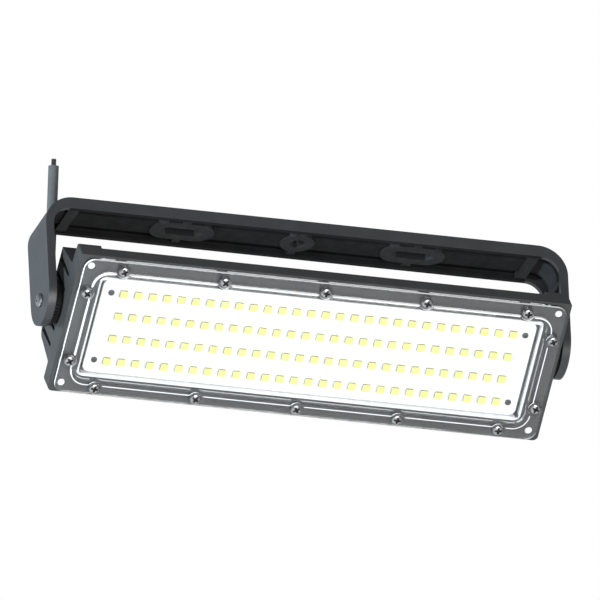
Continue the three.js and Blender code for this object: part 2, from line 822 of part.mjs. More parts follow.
function put(parent, name, geometry, material, x = 0, y = 0, z = 0) {
  const mesh = new THREE.Mesh(geometry, material);
  mesh.name = name;
  mesh.position.set(x, y, z);
  parent.add(mesh);
  return mesh;
}

put(head, 'housing', makeHousing(), greyCast);
put(head, 'lens_gasket', makeGasket(), silicone);
put(head, 'lens_cover', makeCover(), clear);
put(head, 'led_board', makeBoard(), whiteBoard);
put(head, 'thermal_pad', makePad(), padGrey);

const coverScrewShape = makePanScrew(coverScrew);
coverScrewPlaces().forEach(([x, y], i) => {
  const name = `cover_screw_${String(i + 1).padStart(2, '0')}`;
  put(head, name, coverScrewShape, steel, x, y, coverFlangeFront - seatGap);
});
const boardScrewShape = makePanScrew(boardScrew);
boardScrewPlaces.forEach(([x, y], i) => {
  put(head, `board_screw_${i + 1}`, boardScrewShape, blackSteel, x, y, board.face - seatGap);
});
const plugShape = makePlug();
plugPlaces.forEach(([x, y], i) => {
  put(head, `corner_plug_${i + 1}`, plugShape, whiteNylon, x, y);
});

const boltShape = makePivotBolt();
const discShape = makeToothedDisc();
for (const [side, end] of [['left', -1], ['right', 1]]) {
  const bolt = put(head, `pivot_bolt_${side}`, boltShape, steel);
  bolt.position.set(end * (armOuter + seatGap), 0, housing.pivotDepth);
  bolt.rotation.y = (-end * Math.PI) / 2;
  const disc = put(head, `toothed_disc_${side}`, discShape, greyPaint);
  disc.position.set(end * (housing.length / 2 + seatGap), 0, housing.pivotDepth);
  disc.rotation.y = (end * Math.PI) / 2;
}

put(head, 'gland_body', makeGlandBody(), blackNylon, glandX, glandY, glandSeat);
put(head, 'gland_nut', makeGlandNut(), blackNylon, glandX, glandY, nutSeat);
put(head, 'gland_seal', makeSeal(), rubber, glandX, glandY, sealBack);
put(head, 'lead_wire_positive', makeWire(1), redWire);
put(head, 'lead_wire_negative', makeWire(-1), blackWire);
const cableShape = tube(cableRoute, cable.radius, cable.sides, cable.steps);
put(head, 'power_cable', cableShape, greyCable, glandX, glandY, housing.depth);
put(head, 'cable_core', makeCore(), copper, glandX, glandY, housing.depth);

const floodLight = new THREE.Group();
put(floodLight, 'bracket', makeBracket(), greyPaint);
floodLight.add(lamp);

export default floodLight;
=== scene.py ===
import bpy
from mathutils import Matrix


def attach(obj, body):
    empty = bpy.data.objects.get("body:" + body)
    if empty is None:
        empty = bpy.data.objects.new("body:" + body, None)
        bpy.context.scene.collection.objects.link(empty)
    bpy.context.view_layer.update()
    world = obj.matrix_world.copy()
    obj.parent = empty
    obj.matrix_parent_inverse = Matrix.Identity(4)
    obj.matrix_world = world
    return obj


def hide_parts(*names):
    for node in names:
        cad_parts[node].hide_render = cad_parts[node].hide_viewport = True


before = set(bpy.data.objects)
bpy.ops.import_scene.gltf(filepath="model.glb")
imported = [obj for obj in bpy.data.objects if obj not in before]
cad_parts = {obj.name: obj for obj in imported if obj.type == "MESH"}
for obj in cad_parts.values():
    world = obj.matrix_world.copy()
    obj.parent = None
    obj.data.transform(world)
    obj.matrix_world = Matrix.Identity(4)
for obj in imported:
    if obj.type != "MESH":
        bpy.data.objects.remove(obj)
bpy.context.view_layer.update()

import math

import bmesh
import bpy
from mathutils import Matrix, Vector

scene = bpy.context.scene
scene.view_settings.view_transform = "Standard"
mm = 0.001

# The lamp head is drawn in its own frame, in millimetres: X along it, Y across it, Z from its
# front to its back. headFrame carries that to the bracket's frame.
headSettings = {
    "tilt": 34.17,
    "pivotDrop": 68.392,  # below the bracket's top
    "pivotDepth": 27,  # behind the flange's front
    "pivotHole": 3.3,
    "length": 340,
    "depth": 42,
    "gland": (-153, 31.5),
}
headFrame = (
    Matrix.Translation((0, 0, -headSettings["pivotDrop"]))
    @ Matrix.Rotation(math.radians(-headSettings["tilt"]), 4, "X")
    @ Matrix.Translation((0, 0, -headSettings["pivotDepth"]))
)
bracketFrame = Matrix.Identity(4)
ends = {"left": -1, "right": 1}
gap = 0.3  # clearance between pieces that rest on each other
past = 2  # how far a cutting shape stands past what it cuts
into = 1  # how far joined shapes reach into each other
merge = 0.001  # points closer than this become one


def addObject(name, data):
    thing = bpy.data.objects.new(name, data)
    scene.collection.objects.link(thing)
    return thing


# Camera: a parallel view from below and to the left
cameraSettings = {
    "right": (0.95202, -0.30290, -0.04376),
    "up": (-0.09857, -0.43888, 0.89313),
    "shift": (2.231, -43.144),  # along right and up, from the bracket's top to the middle
    "distance": 500,
    "width": 396.1,
    "clip": (0.01, 20),  # metres
}


def makeCamera():
    s = cameraSettings
    right, up = Vector(s["right"]), Vector(s["up"])
    right.normalize()
    back = right.cross(up).normalized()
    up = back.cross(right)
    across, rise = s["shift"]
    place = right * across + up * rise + back * s["distance"]
    data = bpy.data.cameras.new("camera")
    data.type = "ORTHO"
    data.ortho_scale = s["width"] * mm
    data.clip_start, data.clip_end = s["clip"]
    scene.camera = addObject("camera", data)
    turn = Matrix((right, up, back)).transposed().to_4x4()
    scene.camera.matrix_world = Matrix.Translation(place * mm) @ turn


makeCamera()
print("camera made")


# Nodes: each socket takes a value or a link
def node(tree, kind, sockets=(), **values):
    made = tree.nodes.new(kind)
    for name, value in values.items():
        setattr(made, name, value)
    for socket, source in dict(sockets).items():
        if isinstance(source, bpy.types.NodeSocket):
            tree.links.new(source, made.inputs[socket])
        else:
            made.inputs[socket].default_value = source
    return made


def arithmetic(tree, operation, first, second):
    sockets = {0: first, 1: second}
    return node(tree, "ShaderNodeMath", sockets, operation=operation).outputs[0]


def eitherRay(tree, first, second):
    path = node(tree, "ShaderNodeLightPath").outputs
    return arithmetic(tree, "MAXIMUM", path[first], path[second])


def ranged(tree, value, limits, **values):
    sockets = dict(zip(("From Min", "From Max", "To Min", "To Max"), limits))
    sockets["Value"] = value
    return node(tree, "ShaderNodeMapRange", sockets, **values).outputs["Result"]


def mixed(tree, factor, first, second):
    sockets = {0: factor, 1: first.outputs[0], 2: second.outputs[0]}
    return node(tree, "ShaderNodeMixShader", sockets)


# Materials: a cloud of two tints, uneven gloss and a fine grain
patternSettings = {
    "tintStops": (0.35, 0.65),
    "glossStops": (0.3, 0.7),
    "glossScale": 2.3,  # of the cloud's
    "details": (3, 4, 2),  # cloud, gloss, grain
}


def newMaterial(name, values=()):
    material = bpy.data.materials.new(name)
    material.use_nodes = True
    shader = material.node_tree.nodes["Principled BSDF"]
    for socket, value in dict(values).items():
        shader.inputs[socket].default_value = value
    return material, material.node_tree, shader


def noise(tree, scale, detail, stretch=None):
    place = node(tree, "ShaderNodeTexCoord").outputs["Object"]
    if stretch:
        sockets = {"Scale": stretch, "Vector": place}
        place = node(tree, "ShaderNodeMapping", sockets).outputs["Vector"]
    sockets = {"Scale": scale, "Detail": detail, "Vector": place}
    return node(tree, "ShaderNodeTexNoise", sockets).outputs["Fac"]


def tint(tree, shader, pattern, dark, light, stops=patternSettings["tintStops"]):
    if isinstance(dark, float):
        dark = tuple(dark * part for part in light)  # a share of the light tint
    ramp = node(tree, "ShaderNodeValToRGB", {"Fac": pattern})
    for element, position, color in zip(ramp.color_ramp.elements, stops, (dark, light)):
        element.position = position
        element.color = (*color, 1)
    tree.links.new(ramp.outputs["Color"], shader.inputs["Base Color"])


def finish(name, dark, light, low, high, cloud, grain, strength, height, values=(), stretch=None):
    s = patternSettings
    material, tree, shader = newMaterial(name, values)
    cloudDetail, glossDetail, grainDetail = s["details"]
    tint(tree, shader, noise(tree, cloud, cloudDetail), dark, light)
    wear = noise(tree, cloud * s["glossScale"], glossDetail)
    wear = ranged(tree, wear, (*s["glossStops"], low, high))
    tree.links.new(wear, shader.inputs["Roughness"])
    sockets = {"Strength": strength, "Distance": height * mm}
    sockets["Height"] = noise(tree, grain, grainDetail, stretch)
    relief = node(tree, "ShaderNodeBump", sockets)
    tree.links.new(relief.outputs["Normal"], shader.inputs["Normal"])
    return material


metal, level = "Metallic", "Specular IOR Level"
looks = {
    # dark and light tint, roughness from and to, scale of cloud and grain, strength and height
    # of the bump, other values
    "bracketCoat": ((0.037, 0.038, 0.04), (0.043, 0.044, 0.046), 0.36, 0.39, 60, 1500, 0.05, 0.05),
    # painted shade: a darker, duller copy of the coat for the channel's underside
    "bracketChannelShade": (
        (0.015, 0.015, 0.016), (0.021, 0.021, 0.022), 0.62, 0.78, 70, 900, 0.25, 0.08,
        {level: 0.12},
    ),
    # painted shade: a darker copy of the coat for the arms' inner faces past the end ribs
    "armInsideShade": (
        (0.026, 0.028, 0.032), (0.034, 0.036, 0.041), 0.55, 0.7, 70, 900, 0.2, 0.08, {level: 0.2},
    ),
    # painted shade, lighter than the channel's, for the bosses and ribs in the channel
    "bracketBossShade": (
        (0.02, 0.02, 0.021), (0.03, 0.03, 0.03), 0.5, 0.65, 110, 900, 0.25, 0.08, {level: 0.2},
    ),
    # the deepest painted shade, for down-facing faces at the pocket floors
    "bracketPocketShade": (
        (0.01, 0.01, 0.01), (0.015, 0.015, 0.015), 0.62, 0.78, 70, 900, 0.25, 0.08, {level: 0.05},
    ),
    "housingCoat": ((0.038, 0.038, 0.038), (0.046, 0.046, 0.045), 0.38, 0.44, 45, 1500, 0.08, 0.05),
    # painted shade: the toothed discs sit between arm and housing, and their coat is near black
    "discCoat": (
        (0.01, 0.01, 0.011), (0.016, 0.016, 0.017), 0.5, 0.65, 120, 1800, 0.15, 0.1, {level: 0.25},
    ),
    "stainless": ((0.4, 0.4, 0.4), (0.52, 0.52, 0.51), 0.2, 0.3, 300, 2500, 0.05, 0.1, {metal: 1}),
    "boltSteel": (
        (0.46, 0.48, 0.5), (0.58, 0.6, 0.62), 0.36, 0.46, 300, 2500, 0.05, 0.1, {metal: 1},
    ),
    # black oxide for the board screws, and painted shade in the cover screws' cross recesses
    "blackOxideAndPaintedShade": (
        (0.05, 0.05, 0.052), (0.08, 0.08, 0.085), 0.3, 0.45, 400, 2500, 0.1, 0.1, {metal: 0.6},
    ),
    "boardMask": ((0.86, 0.87, 0.86), (0.92, 0.92, 0.91), 0.32, 0.42, 60, 900, 0.05, 0.1),
    # painted shade: the packages' walls and wells, dark olive
    "ledPackageShade": ((0.27, 0.26, 0.12), (0.33, 0.32, 0.15), 0.35, 0.5, 500, 2500, 0.1, 0.1),
    "phosphor": ((0.83, 0.85, 0.25), (0.87, 0.89, 0.31), 0.4, 0.55, 700, 3000, 0.2, 0.1),
    "padFoam": ((0.28, 0.3, 0.33), (0.36, 0.38, 0.41), 0.7, 0.85, 80, 900, 0.3, 0.1),
    "silicone": ((0.035, 0.035, 0.036), (0.048, 0.048, 0.049), 0.5, 0.65, 100, 900, 0.15, 0.1),
    # painted highlight: opaque white for the cover's outward walls and the window's top border, in
    # place of light caught in the clear plastic
    "paintedEdgeHighlight": ((0.88, 0.89, 0.9), (0.94, 0.95, 0.95), 0.35, 0.5, 90, 1200, 0.1, 0.1),
    # a bright light-grey band on top of the lip
    "brightLip": (
        (0.8, 0.8, 0.8), (0.9, 0.9, 0.89), 0.35, 0.5, 200, 1500, 0.15, 0.1,
        {metal: 0.15}, (0.1, 1, 1),  # drawn out along the lip
    ),
    "whiteNylon": ((0.82, 0.82, 0.81), (0.88, 0.88, 0.87), 0.35, 0.5, 300, 1500, 0.15, 0.1),
    "blackNylon": ((0.03, 0.031, 0.033), (0.04, 0.041, 0.043), 0.35, 0.5, 150, 1600, 0.25, 0.1),
    "blackRubber": ((0.018, 0.018, 0.018), (0.028, 0.028, 0.028), 0.6, 0.8, 150, 1200, 0.3, 0.1),
    "redWire": ((0.4, 0.02, 0.015), (0.5, 0.03, 0.02), 0.3, 0.45, 200, 1200, 0.1, 0.1),
    "blackWire": ((0.018, 0.018, 0.019), (0.026, 0.026, 0.027), 0.3, 0.45, 200, 1200, 0.1, 0.1),
    "cableSheath": ((0.095, 0.099, 0.102), (0.115, 0.12, 0.123), 0.45, 0.6, 120, 1500, 0.2, 0.1),
    "tinnedStrands": (
        (0.14, 0.14, 0.14), (0.22, 0.22, 0.21), 0.35, 0.5, 900, 2500, 0.2, 0.1, {metal: 0.9},
    ),
}
materials = {name: finish(name, *look) for name, look in looks.items()}


# Clear plastic: glass to the eye, and open to lamps and soft light
clearSettings = {
    "color": (0.97, 0.98, 0.985),
    "haze": (0.99, 60, 3),  # darkest share of the colour, scale, detail
    "values": {"Transmission Weight": 1, "IOR": 1.5, "Roughness": 0.02},
}


def makeClearPlastic():
    s = clearSettings
    material, tree, shader = newMaterial("clearPlastic", s["values"])
    share, scale, detail = s["haze"]
    tint(tree, shader, noise(tree, scale, detail), share, s["color"])
    rays = eitherRay(tree, "Is Shadow Ray", "Is Diffuse Ray")
    mix = mixed(tree, rays, shader, node(tree, "ShaderNodeBsdfTransparent"))
    tree.links.new(mix.outputs[0], tree.nodes["Material Output"].inputs["Surface"])
    return material


materials["clearPlastic"] = makeClearPlastic()
print("materials made")


# Mesh tools, in millimetres
def arc(x, y, radius, start, end, steps=12):
    points = []
    for i in range(steps + 1):
        angle = math.radians(start + (end - start) * i / steps)
        points.append((x + radius * math.cos(angle), y + radius * math.sin(angle)))
    return points


def ringOf(x, y, radius, sides=48):
    return arc(x, y, radius, 0, 360, sides)[:-1]


def roundedRectangle(length, width, radius, low=None, x=0, steps=10):
    low = radius if low is None else low
    corners = [(1, 1, radius), (-1, 1, radius), (-1, -1, low), (1, -1, low)]
    points = []
    for i, (a, b, r) in enumerate(corners):
        middle = (x + a * (length / 2 - r), b * (width / 2 - r))
        points += arc(*middle, r, 90 * i, 90 * (i + 1), steps)
    return points


def roundEnded(size, x):
    length, width = size
    return roundedRectangle(length, width, width / 2 - 0.01, x=x)


def outward(bm):
    bmesh.ops.recalc_face_normals(bm, faces=bm.faces)
    return bm


def prism(outline, start, end, axis="Z"):
    places = {
        "Z": lambda a, b, c: (a, b, c),
        "Y": lambda a, b, c: (a, c, b),  # outline in X and Z
        "X": lambda a, b, c: (c, a, b),  # outline in Y and Z
    }
    bm = bmesh.new()
    reach = sorted((start, end))
    rims = [[bm.verts.new(places[axis](a, b, c)) for a, b in outline] for c in reach]
    return skinned(bm, rims)


def skinned(bm, rims):
    bm.faces.new(rims[0])
    bm.faces.new(rims[-1])
    count = len(rims[0])
    for near, far in zip(rims, rims[1:]):
        for i in range(count):
            j = (i + 1) % count
            bm.faces.new((near[i], near[j], far[j], far[i]))
    return outward(bm)


def loft(outlineAt, steps):
    bm = bmesh.new()
    rims = [[bm.verts.new((*point, z)) for point in outlineAt(inset)] for inset, z in steps]
    return skinned(bm, rims)


def box(low, high):
    (x0, y0, z0), (x1, y1, z1) = low, high
    return prism([(x0, y0), (x1, y0), (x1, y1), (x0, y1)], z0, z1)


def turned(profile, sides=48):
    bm = bmesh.new()
    rims = []
    for radius, height in profile:
        spots = ringOf(0, 0, radius, sides) if radius else [(0, 0)]
        rims.append([bm.verts.new((x, y, height)) for x, y in spots])
    for near, far in zip(rims, rims[1:]):
        for i in range(sides):
            corners = ((near, i), (near, i + 1), (far, i + 1), (far, i))
            corners = list(dict.fromkeys(rim[k % len(rim)] for rim, k in corners))
            if len(corners) > 2:
                bm.faces.new(corners)
    return outward(bm)


def turnedRing(profile, sides):
    bm = turned([*profile, profile[0]], sides)
    bmesh.ops.remove_doubles(bm, verts=bm.verts, dist=merge)
    return outward(bm)


def toMesh(bm, name="shape"):
    mesh = bpy.data.meshes.new(name)
    bm.to_mesh(mesh)
    bm.free()
    return mesh


def toShape(mesh):
    bm = bmesh.new()
    bm.from_mesh(mesh)
    bpy.data.meshes.remove(mesh)
    return bm


def evaluatedMesh(thing, *helpers):
    bpy.context.view_layer.update()
    depsgraph = bpy.context.evaluated_depsgraph_get()
    mesh = bpy.data.meshes.new_from_object(thing.evaluated_get(depsgraph), depsgraph=depsgraph)
    for used in (thing, *helpers):
        bpy.data.objects.remove(used)
    return mesh


def joined(shapes, operation="UNION", base=None):
    shapes = list(shapes)
    thing = addObject("base", toMesh(shapes.pop(0) if base is None else base))
    helpers = [addObject("tool", toMesh(shape)) for shape in shapes]
    for helper in helpers:
        modifier = thing.modifiers.new("boolean", "BOOLEAN")
        modifier.operation = operation
        modifier.solver = "MANIFOLD"
        modifier.object = helper
    return toShape(evaluatedMesh(thing, *helpers))


def cut(base, tools):
    return joined(tools, "DIFFERENCE", base)


def rounded(bm, width, segments=2, angle=32):
    bmesh.ops.remove_doubles(bm, verts=bm.verts, dist=2 * merge)
    bmesh.ops.triangulate(bm, faces=bm.faces)  # faces with holes would fold over in the bevel
    thing = addObject("sharp", toMesh(bm))
    bevel = thing.modifiers.new("bevel", "BEVEL")
    bevel.limit_method = "ANGLE"
    bevel.angle_limit = math.radians(angle)
    bevel.width = width
    bevel.segments = segments
    bevel.miter_outer = "MITER_ARC"
    return toShape(evaluatedMesh(thing))


# chosen takes a face's middle and its normal, as the piece is drawn
def paint(piece, material, chosen, placing=headFrame):
    piece.data.materials.append(materials[material])
    index = len(piece.data.materials) - 1
    unplaced = placing.inverted()
    unturned = unplaced.to_3x3()
    for face in piece.data.polygons:
        if chosen(unplaced @ (face.center / mm), unturned @ face.normal):
            face.material_index = index


def place(name, bm, *values, **more):
    bmesh.ops.triangulate(bm, faces=[face for face in bm.faces if len(face.verts) > 4])
    return placeMesh(name, toMesh(bm, name), *values, **more)


# Clear flats show every bent normal, so their edges stay sharp
def crispFlats(mesh):
    bm = bmesh.new()
    bm.from_mesh(mesh)
    for edge in bm.edges:
        flat = [abs(face.normal.z) > 0.9999 for face in edge.link_faces]
        if any(flat) and not all(flat):
            edge.smooth = False
    bm.to_mesh(mesh)
    bm.free()


def placeMesh(name, mesh, material, slot, nodes=(), placing=headFrame, body="lamp", crisp=False):
    mesh.shade_smooth()
    mesh.set_sharp_from_angle(angle=math.radians(35))
    if crisp:
        crispFlats(mesh)
    mesh.transform(Matrix.Scale(mm, 4) @ placing)
    mesh.materials.clear()
    mesh.materials.append(materials[material])
    thing = addObject("shaded", mesh)
    thing.modifiers.new("flats", "WEIGHTED_NORMAL").keep_sharp = True
    mesh = evaluatedMesh(thing)
    mesh.name = name
    piece = addObject(name, mesh)
    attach(piece, body)
    if nodes:
        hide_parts(*nodes)
    return piece


# Geometry node trees for what repeats
def newTree(name, inputs):
    tree = bpy.data.node_groups.new(name, "GeometryNodeTree")
    for label, kind in [*inputs, ("part", "Object"), ("look", "Material")]:
        tree.interface.new_socket(label, in_out="INPUT", socket_type="NodeSocket" + kind)
    tree.interface.new_socket("Geometry", in_out="OUTPUT", socket_type="NodeSocketGeometry")
    return tree, node(tree, "NodeGroupInput").outputs


def spread(tree, inputs, points, rotation=None):
    part = node(tree, "GeometryNodeObjectInfo", {"Object": inputs["part"]})
    sockets = {"Points": points, "Instance": part.outputs["Geometry"]}
    if rotation:
        sockets["Rotation"] = rotation
    copies = node(tree, "GeometryNodeInstanceOnPoints", sockets)
    real = node(tree, "GeometryNodeRealizeInstances", {"Geometry": copies.outputs[0]})
    sockets = {"Geometry": real.outputs[0], "Material": inputs["look"]}
    painted = node(tree, "GeometryNodeSetMaterial", sockets)
    node(tree, "NodeGroupOutput", {"Geometry": painted.outputs[0]})
    return tree


def turnedBy(tree, angle):
    turn = node(tree, "ShaderNodeCombineXYZ", {"Z": angle})
    return node(tree, "FunctionNodeEulerToRotation", {0: turn.outputs[0]}).outputs[0]


def makeRowTree():
    tree, inputs = newTree("partsInRows", [
        ("columns", "Int"), ("rows", "Int"), ("columnPitch", "Float"), ("rowPitch", "Float"),
    ])
    sockets = {}
    for axis, count, pitch in (("X", "columns", "columnPitch"), ("Y", "rows", "rowPitch")):
        gaps = arithmetic(tree, "SUBTRACT", inputs[count], 1)
        sockets["Size " + axis] = arithmetic(tree, "MULTIPLY", gaps, inputs[pitch])
        sockets["Vertices " + axis] = inputs[count]
    grid = node(tree, "GeometryNodeMeshGrid", sockets)
    return spread(tree, inputs, grid.outputs["Mesh"])


def makeRingTree():
    tree, inputs = newTree("partsInRing", [("count", "Int")])
    points = node(tree, "GeometryNodeMeshLine", {"Count": inputs["count"], "Offset": (0, 0, 0)})
    index = node(tree, "GeometryNodeInputIndex").outputs[0]
    share = arithmetic(tree, "DIVIDE", index, inputs["count"])
    angle = arithmetic(tree, "MULTIPLY", share, 2 * math.pi)
    return spread(tree, inputs, points.outputs[0], turnedBy(tree, angle))


def makePointTree():
    sockets = [("points", "Geometry"), ("seed", "Int"), ("turn", "Float")]
    tree, inputs = newTree("partsAtPoints", sockets)
    spin = node(tree, "FunctionNodeRandomValue", {"Seed": inputs["seed"]}, data_type="FLOAT")
    angle = arithmetic(tree, "MULTIPLY", spin.outputs[1], inputs["turn"])
    return spread(tree, inputs, inputs["points"], turnedBy(tree, angle))


trees = {"rows": makeRowTree(), "ring": makeRingTree(), "points": makePointTree()}


def byTree(kind, part, look, points=(), **values):
    tree = trees[kind]
    seeds = bpy.data.meshes.new("points")
    seeds.from_pydata(list(points), [], [])
    holder, helper = addObject("holder", seeds), addObject("part", toMesh(part))
    modifier = holder.modifiers.new("parts", "NODES")
    modifier.node_group = tree
    given = {"part": helper, "look": materials[look], **values}
    for socket in tree.interface.items_tree:
        if socket.in_out == "INPUT" and socket.name in given:
            modifier[socket.identifier] = given[socket.name]
    return evaluatedMesh(holder, helper)


def placeRows(name, part, look, slot, **grid):
    return placeMesh(name, byTree("rows", part, look, **grid), look, slot)


print("tools ready")


# Cable: a stiff stub with a bare end, on the axis of its gland
cableSettings = {
    "radius": 3.5,
    "resolution": (6, 8),  # around and along
    "strand": (1.7 / 3, 4.8),  # radius, length
    "strandTip": (0.4, 0.6),  # length, share of the radius
    "strands": 6,  # around the middle one
    # across the head and out of its back, from the gland's place
    "route": [
        (0, 18), (0, 22.5), (0, 27), (0, 31.4), (0, 35.8), (-0.9, 43.6), (-3.4, 50.9), (-7.2, 57.3),
        (-12.1, 62.4), (-18.2, 67.7), (-25.8, 74.2), (-34.9, 82.1), (-44, 89.9), (-53.1, 97.8),
        (-59.7, 103.5), (-66.3, 109.2),
    ],
}


def makeCable():
    s = cableSettings
    start = Vector((*headSettings["gland"], headSettings["depth"]))
    points = [headFrame @ (Vector((0, *spot)) + start) * mm for spot in s["route"]]
    data = bpy.data.curves.new("powerCable", "CURVE")
    data.dimensions = "3D"
    data.bevel_depth = s["radius"] * mm
    data.bevel_resolution, data.resolution_u = s["resolution"]
    data.use_fill_caps = True
    spline = data.splines.new("BEZIER")
    spline.bezier_points.add(len(points) - 1)
    for i, point in enumerate(points):
        before, after = points[max(i - 1, 0)], points[min(i + 1, len(points) - 1)]
        along = (after - before).normalized()
        knot = spline.bezier_points[i]
        knot.co = point
        knot.handle_left_type = knot.handle_right_type = "FREE"
        knot.handle_left = point - along * (point - before).length / 3
        knot.handle_right = point + along * (after - point).length / 3
    data.materials.append(materials["cableSheath"])
    piece = addObject("powerCable", data)
    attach(piece, "lamp")
    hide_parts("power_cable")

    (radius, reach), (tip, share) = s["strand"], s["strandTip"]
    strand = turned(
        [(0, -1), (radius, -1), (radius, reach - tip), (radius * share, reach), (0, reach)], 10
    )
    spots = [(0, 0, 0)] + [(x, y, 0) for x, y in ringOf(0, 0, 2 * radius, s["strands"])]
    core = byTree("points", strand, "tinnedStrands", spots, seed=3, turn=0.0)
    turn = (points[-1] - points[-2]).normalized().to_track_quat("Z", "Y").to_matrix().to_4x4()
    placing = Matrix.Translation(points[-1] / mm) @ turn
    corePiece = placeMesh("cableCore", core, "tinnedStrands", "cable_core", ["cable_core"], placing)


makeCable()


# Bracket
bracketSettings = {
    "width": 40,
    "thickness": 5.5,
    "sideGap": 5.5,  # between an arm and the head's end
    "corner": 20,
    "innerCorner": 12,
    "armEndRise": 3.2,  # of the arm's round end, above the pivot
    "rimHeight": 8.1,
    "rimThickness": 3.5,
    "railWidth": 17,
    "railDepth": 5.7,
    "railArmDepth": 4.2,
    "ledge": 0.6,
    "floor": 3.5,
    "armFloor": 2.6,
    "armRecess": 2.9,
    "pivotBoss": 18,
    "centreHole": 5.2,
    "centreBoss": 11.5,
    "slotX": 80,
    "slot": (28, 9),
    "slotBoss": (44, 23),
    "bossRise": 1.2,  # above the rail
    "ribWidth": (6.5, 5.5),  # at the floor, and between the boss and the rims
    "endRib": 3,
    "endRibWidth": 7.2,
    "endRibInset": 16,
    "endRibSink": 0.9,  # behind the rims
    "edge": 0.7,
}


def makeBracket():
    s = bracketSettings
    drop = headSettings["pivotDrop"]
    half = s["width"] / 2
    innerHalf = half - s["rimThickness"]
    armInner = headSettings["length"] / 2 + s["sideGap"]
    armOuter = armInner + s["thickness"]
    endCentre = -drop + s["armEndRise"]
    armEnd = endCentre - half
    below = armEnd - past
    channelEnd = -s["corner"] - s["endRib"]

    def underside(sink, inset, radius, floor):
        reach = armOuter - inset
        return (
            [(-reach, floor), (reach, floor)]
            + arc(reach - radius, -sink - radius, radius, 0, 90, 20)
            + arc(-reach + radius, -sink - radius, radius, 90, 180, 20)
        )

    outline = underside(s["rimHeight"], s["thickness"], s["innerCorner"], below)
    between = prism(outline, -half - past, half + past, "Y")
    aroundEnd = (
        [(half + past, endCentre)] + arc(0, endCentre, half, 0, -180, 32)
        + [(-half - past, endCentre), (-half - past, below), (half + past, below)]
    )
    through = [(side * (armInner - past), side * (armOuter + past)) for side in (-1, 1)]
    blank = prism(underside(0, 0, s["corner"], armEnd), -half, half, "Y")
    blank = cut(blank, [between, *(prism(aroundEnd, *reach, "X") for reach in through)])

    outline = underside(s["railDepth"], s["railArmDepth"], s["innerCorner"], channelEnd)
    channel = prism(outline, -innerHalf, innerHalf, "Y")
    outline = underside(s["floor"], s["armFloor"], s["innerCorner"], channelEnd)
    bossTop, endRibTop = -s["railDepth"] - s["bossRise"], -s["rimHeight"] + s["endRibSink"]
    endRibX = armInner - s["endRibInset"]
    ribs = [(side * s["slotX"], *s["ribWidth"], bossTop) for side in (-1, 0, 1)]
    ribs += [(side * endRibX, s["endRibWidth"], s["endRibWidth"], endRibTop) for side in (-1, 1)]
    pockets, recesses = [], []
    for side in (-1, 1):
        far = side * (innerHalf - s["ledge"])
        pocket = prism(outline, side * s["railWidth"] / 2, far, "Y")
        keep = [(x - wide / 2, x + wide / 2) for x, wide, *_ in ribs]
        keep = [box((low, -half, -s["corner"]), (high, half, 0)) for low, high in keep]
        pockets.append(cut(pocket, keep))
        low, high = sorted((side * (armInner - past), side * (armInner + s["armRecess"])))
        panel = box((low, -innerHalf, -drop), (high, innerHalf, channelEnd - s["endRib"]))
        boss = prism(ringOf(0, -drop, s["pivotBoss"], 64), low - past, high + past, "X")
        recesses.append(cut(panel, [boss]))

    web = -s["floor"] / 2
    outlines = [ringOf(0, 0, s["centreBoss"])]
    outlines += [roundEnded(s["slotBoss"], side * s["slotX"]) for side in (-1, 1)]
    raised = [prism(outline, bossTop, web) for outline in outlines]
    reach = innerHalf + s["rimThickness"] / 4
    for x, _, wide, top in ribs:
        raised.append(box((x - wide / 2, -reach, top), (x + wide / 2, reach, web)))
    holes = [prism(ringOf(0, 0, s["centreHole"]), -s["corner"], past)]
    bore = ringOf(0, -drop, headSettings["pivotHole"], 32)
    for side, reach in zip((-1, 1), through):
        holes.append(prism(roundEnded(s["slot"], side * s["slotX"]), -s["corner"], past))
        holes.append(prism(bore, *reach, "X"))
    cast = joined(raised, base=cut(blank, [channel, *pockets, *recesses]))
    cast = rounded(cut(cast, holes), s["edge"])
    piece = place(
        "castBracket", cast, "bracketCoat", "bracket_coat", ["bracket"], bracketFrame, "bracket"
    )

    # The inside gets painted shade by where a face lies and how it leans: darker copies of the coat
    # in the channel, the pockets and the arms, and a lighter one on the bosses
    margin, rimMargin = 0.1, 0.9
    down, flat, across = -0.5, 0.9, 0.2
    ribEnd = endRibX + s["endRibWidth"] / 2
    under = -s["edge"] - 1
    curveTop = -s["railDepth"] - 0.8  # where the channel turns into the arms

    def beyondRib(spot):
        return abs(spot.y) < innerHalf - margin and abs(spot.x) > ribEnd - margin

    # faces of the channel that get painted shade
    def shadedChannel(spot, normal):
        if beyondRib(spot) and curveTop <= spot.z < under:
            return True
        inChannel = abs(spot.x) < ribEnd and abs(spot.y) < half - margin and spot.z < under
        low = spot.z < -s["floor"] + 0.3 or abs(normal.z) < flat
        return inChannel and (normal.z < down or (low and abs(normal.x) < across))

    # the arms' inner faces, which get painted shade
    def shadedArm(spot, normal):
        facing = normal.x * math.copysign(1, spot.x) < -0.15
        return beyondRib(spot) and facing and spot.z < curveTop

    # bosses and ribs in the channel, which get the lighter painted shade
    def shadedBoss(spot, normal):
        inside = abs(spot.y) < innerHalf - rimMargin and abs(spot.x) < ribEnd
        return inside and normal.z < 0.3 and spot.z < -s["railDepth"] - 2 * margin

    # down-facing faces in the pockets, which get the deepest painted shade
    def shadedPocket(spot, normal):
        return normal.z < -flat and -s["floor"] - 0.3 < spot.z < under

    paint(piece, "bracketChannelShade", shadedChannel, bracketFrame)
    paint(piece, "armInsideShade", shadedArm, bracketFrame)
    paint(piece, "bracketBossShade", shadedBoss, bracketFrame)
    paint(piece, "bracketPocketShade", shadedPocket, bracketFrame)


makeBracket()
print("bracket made")


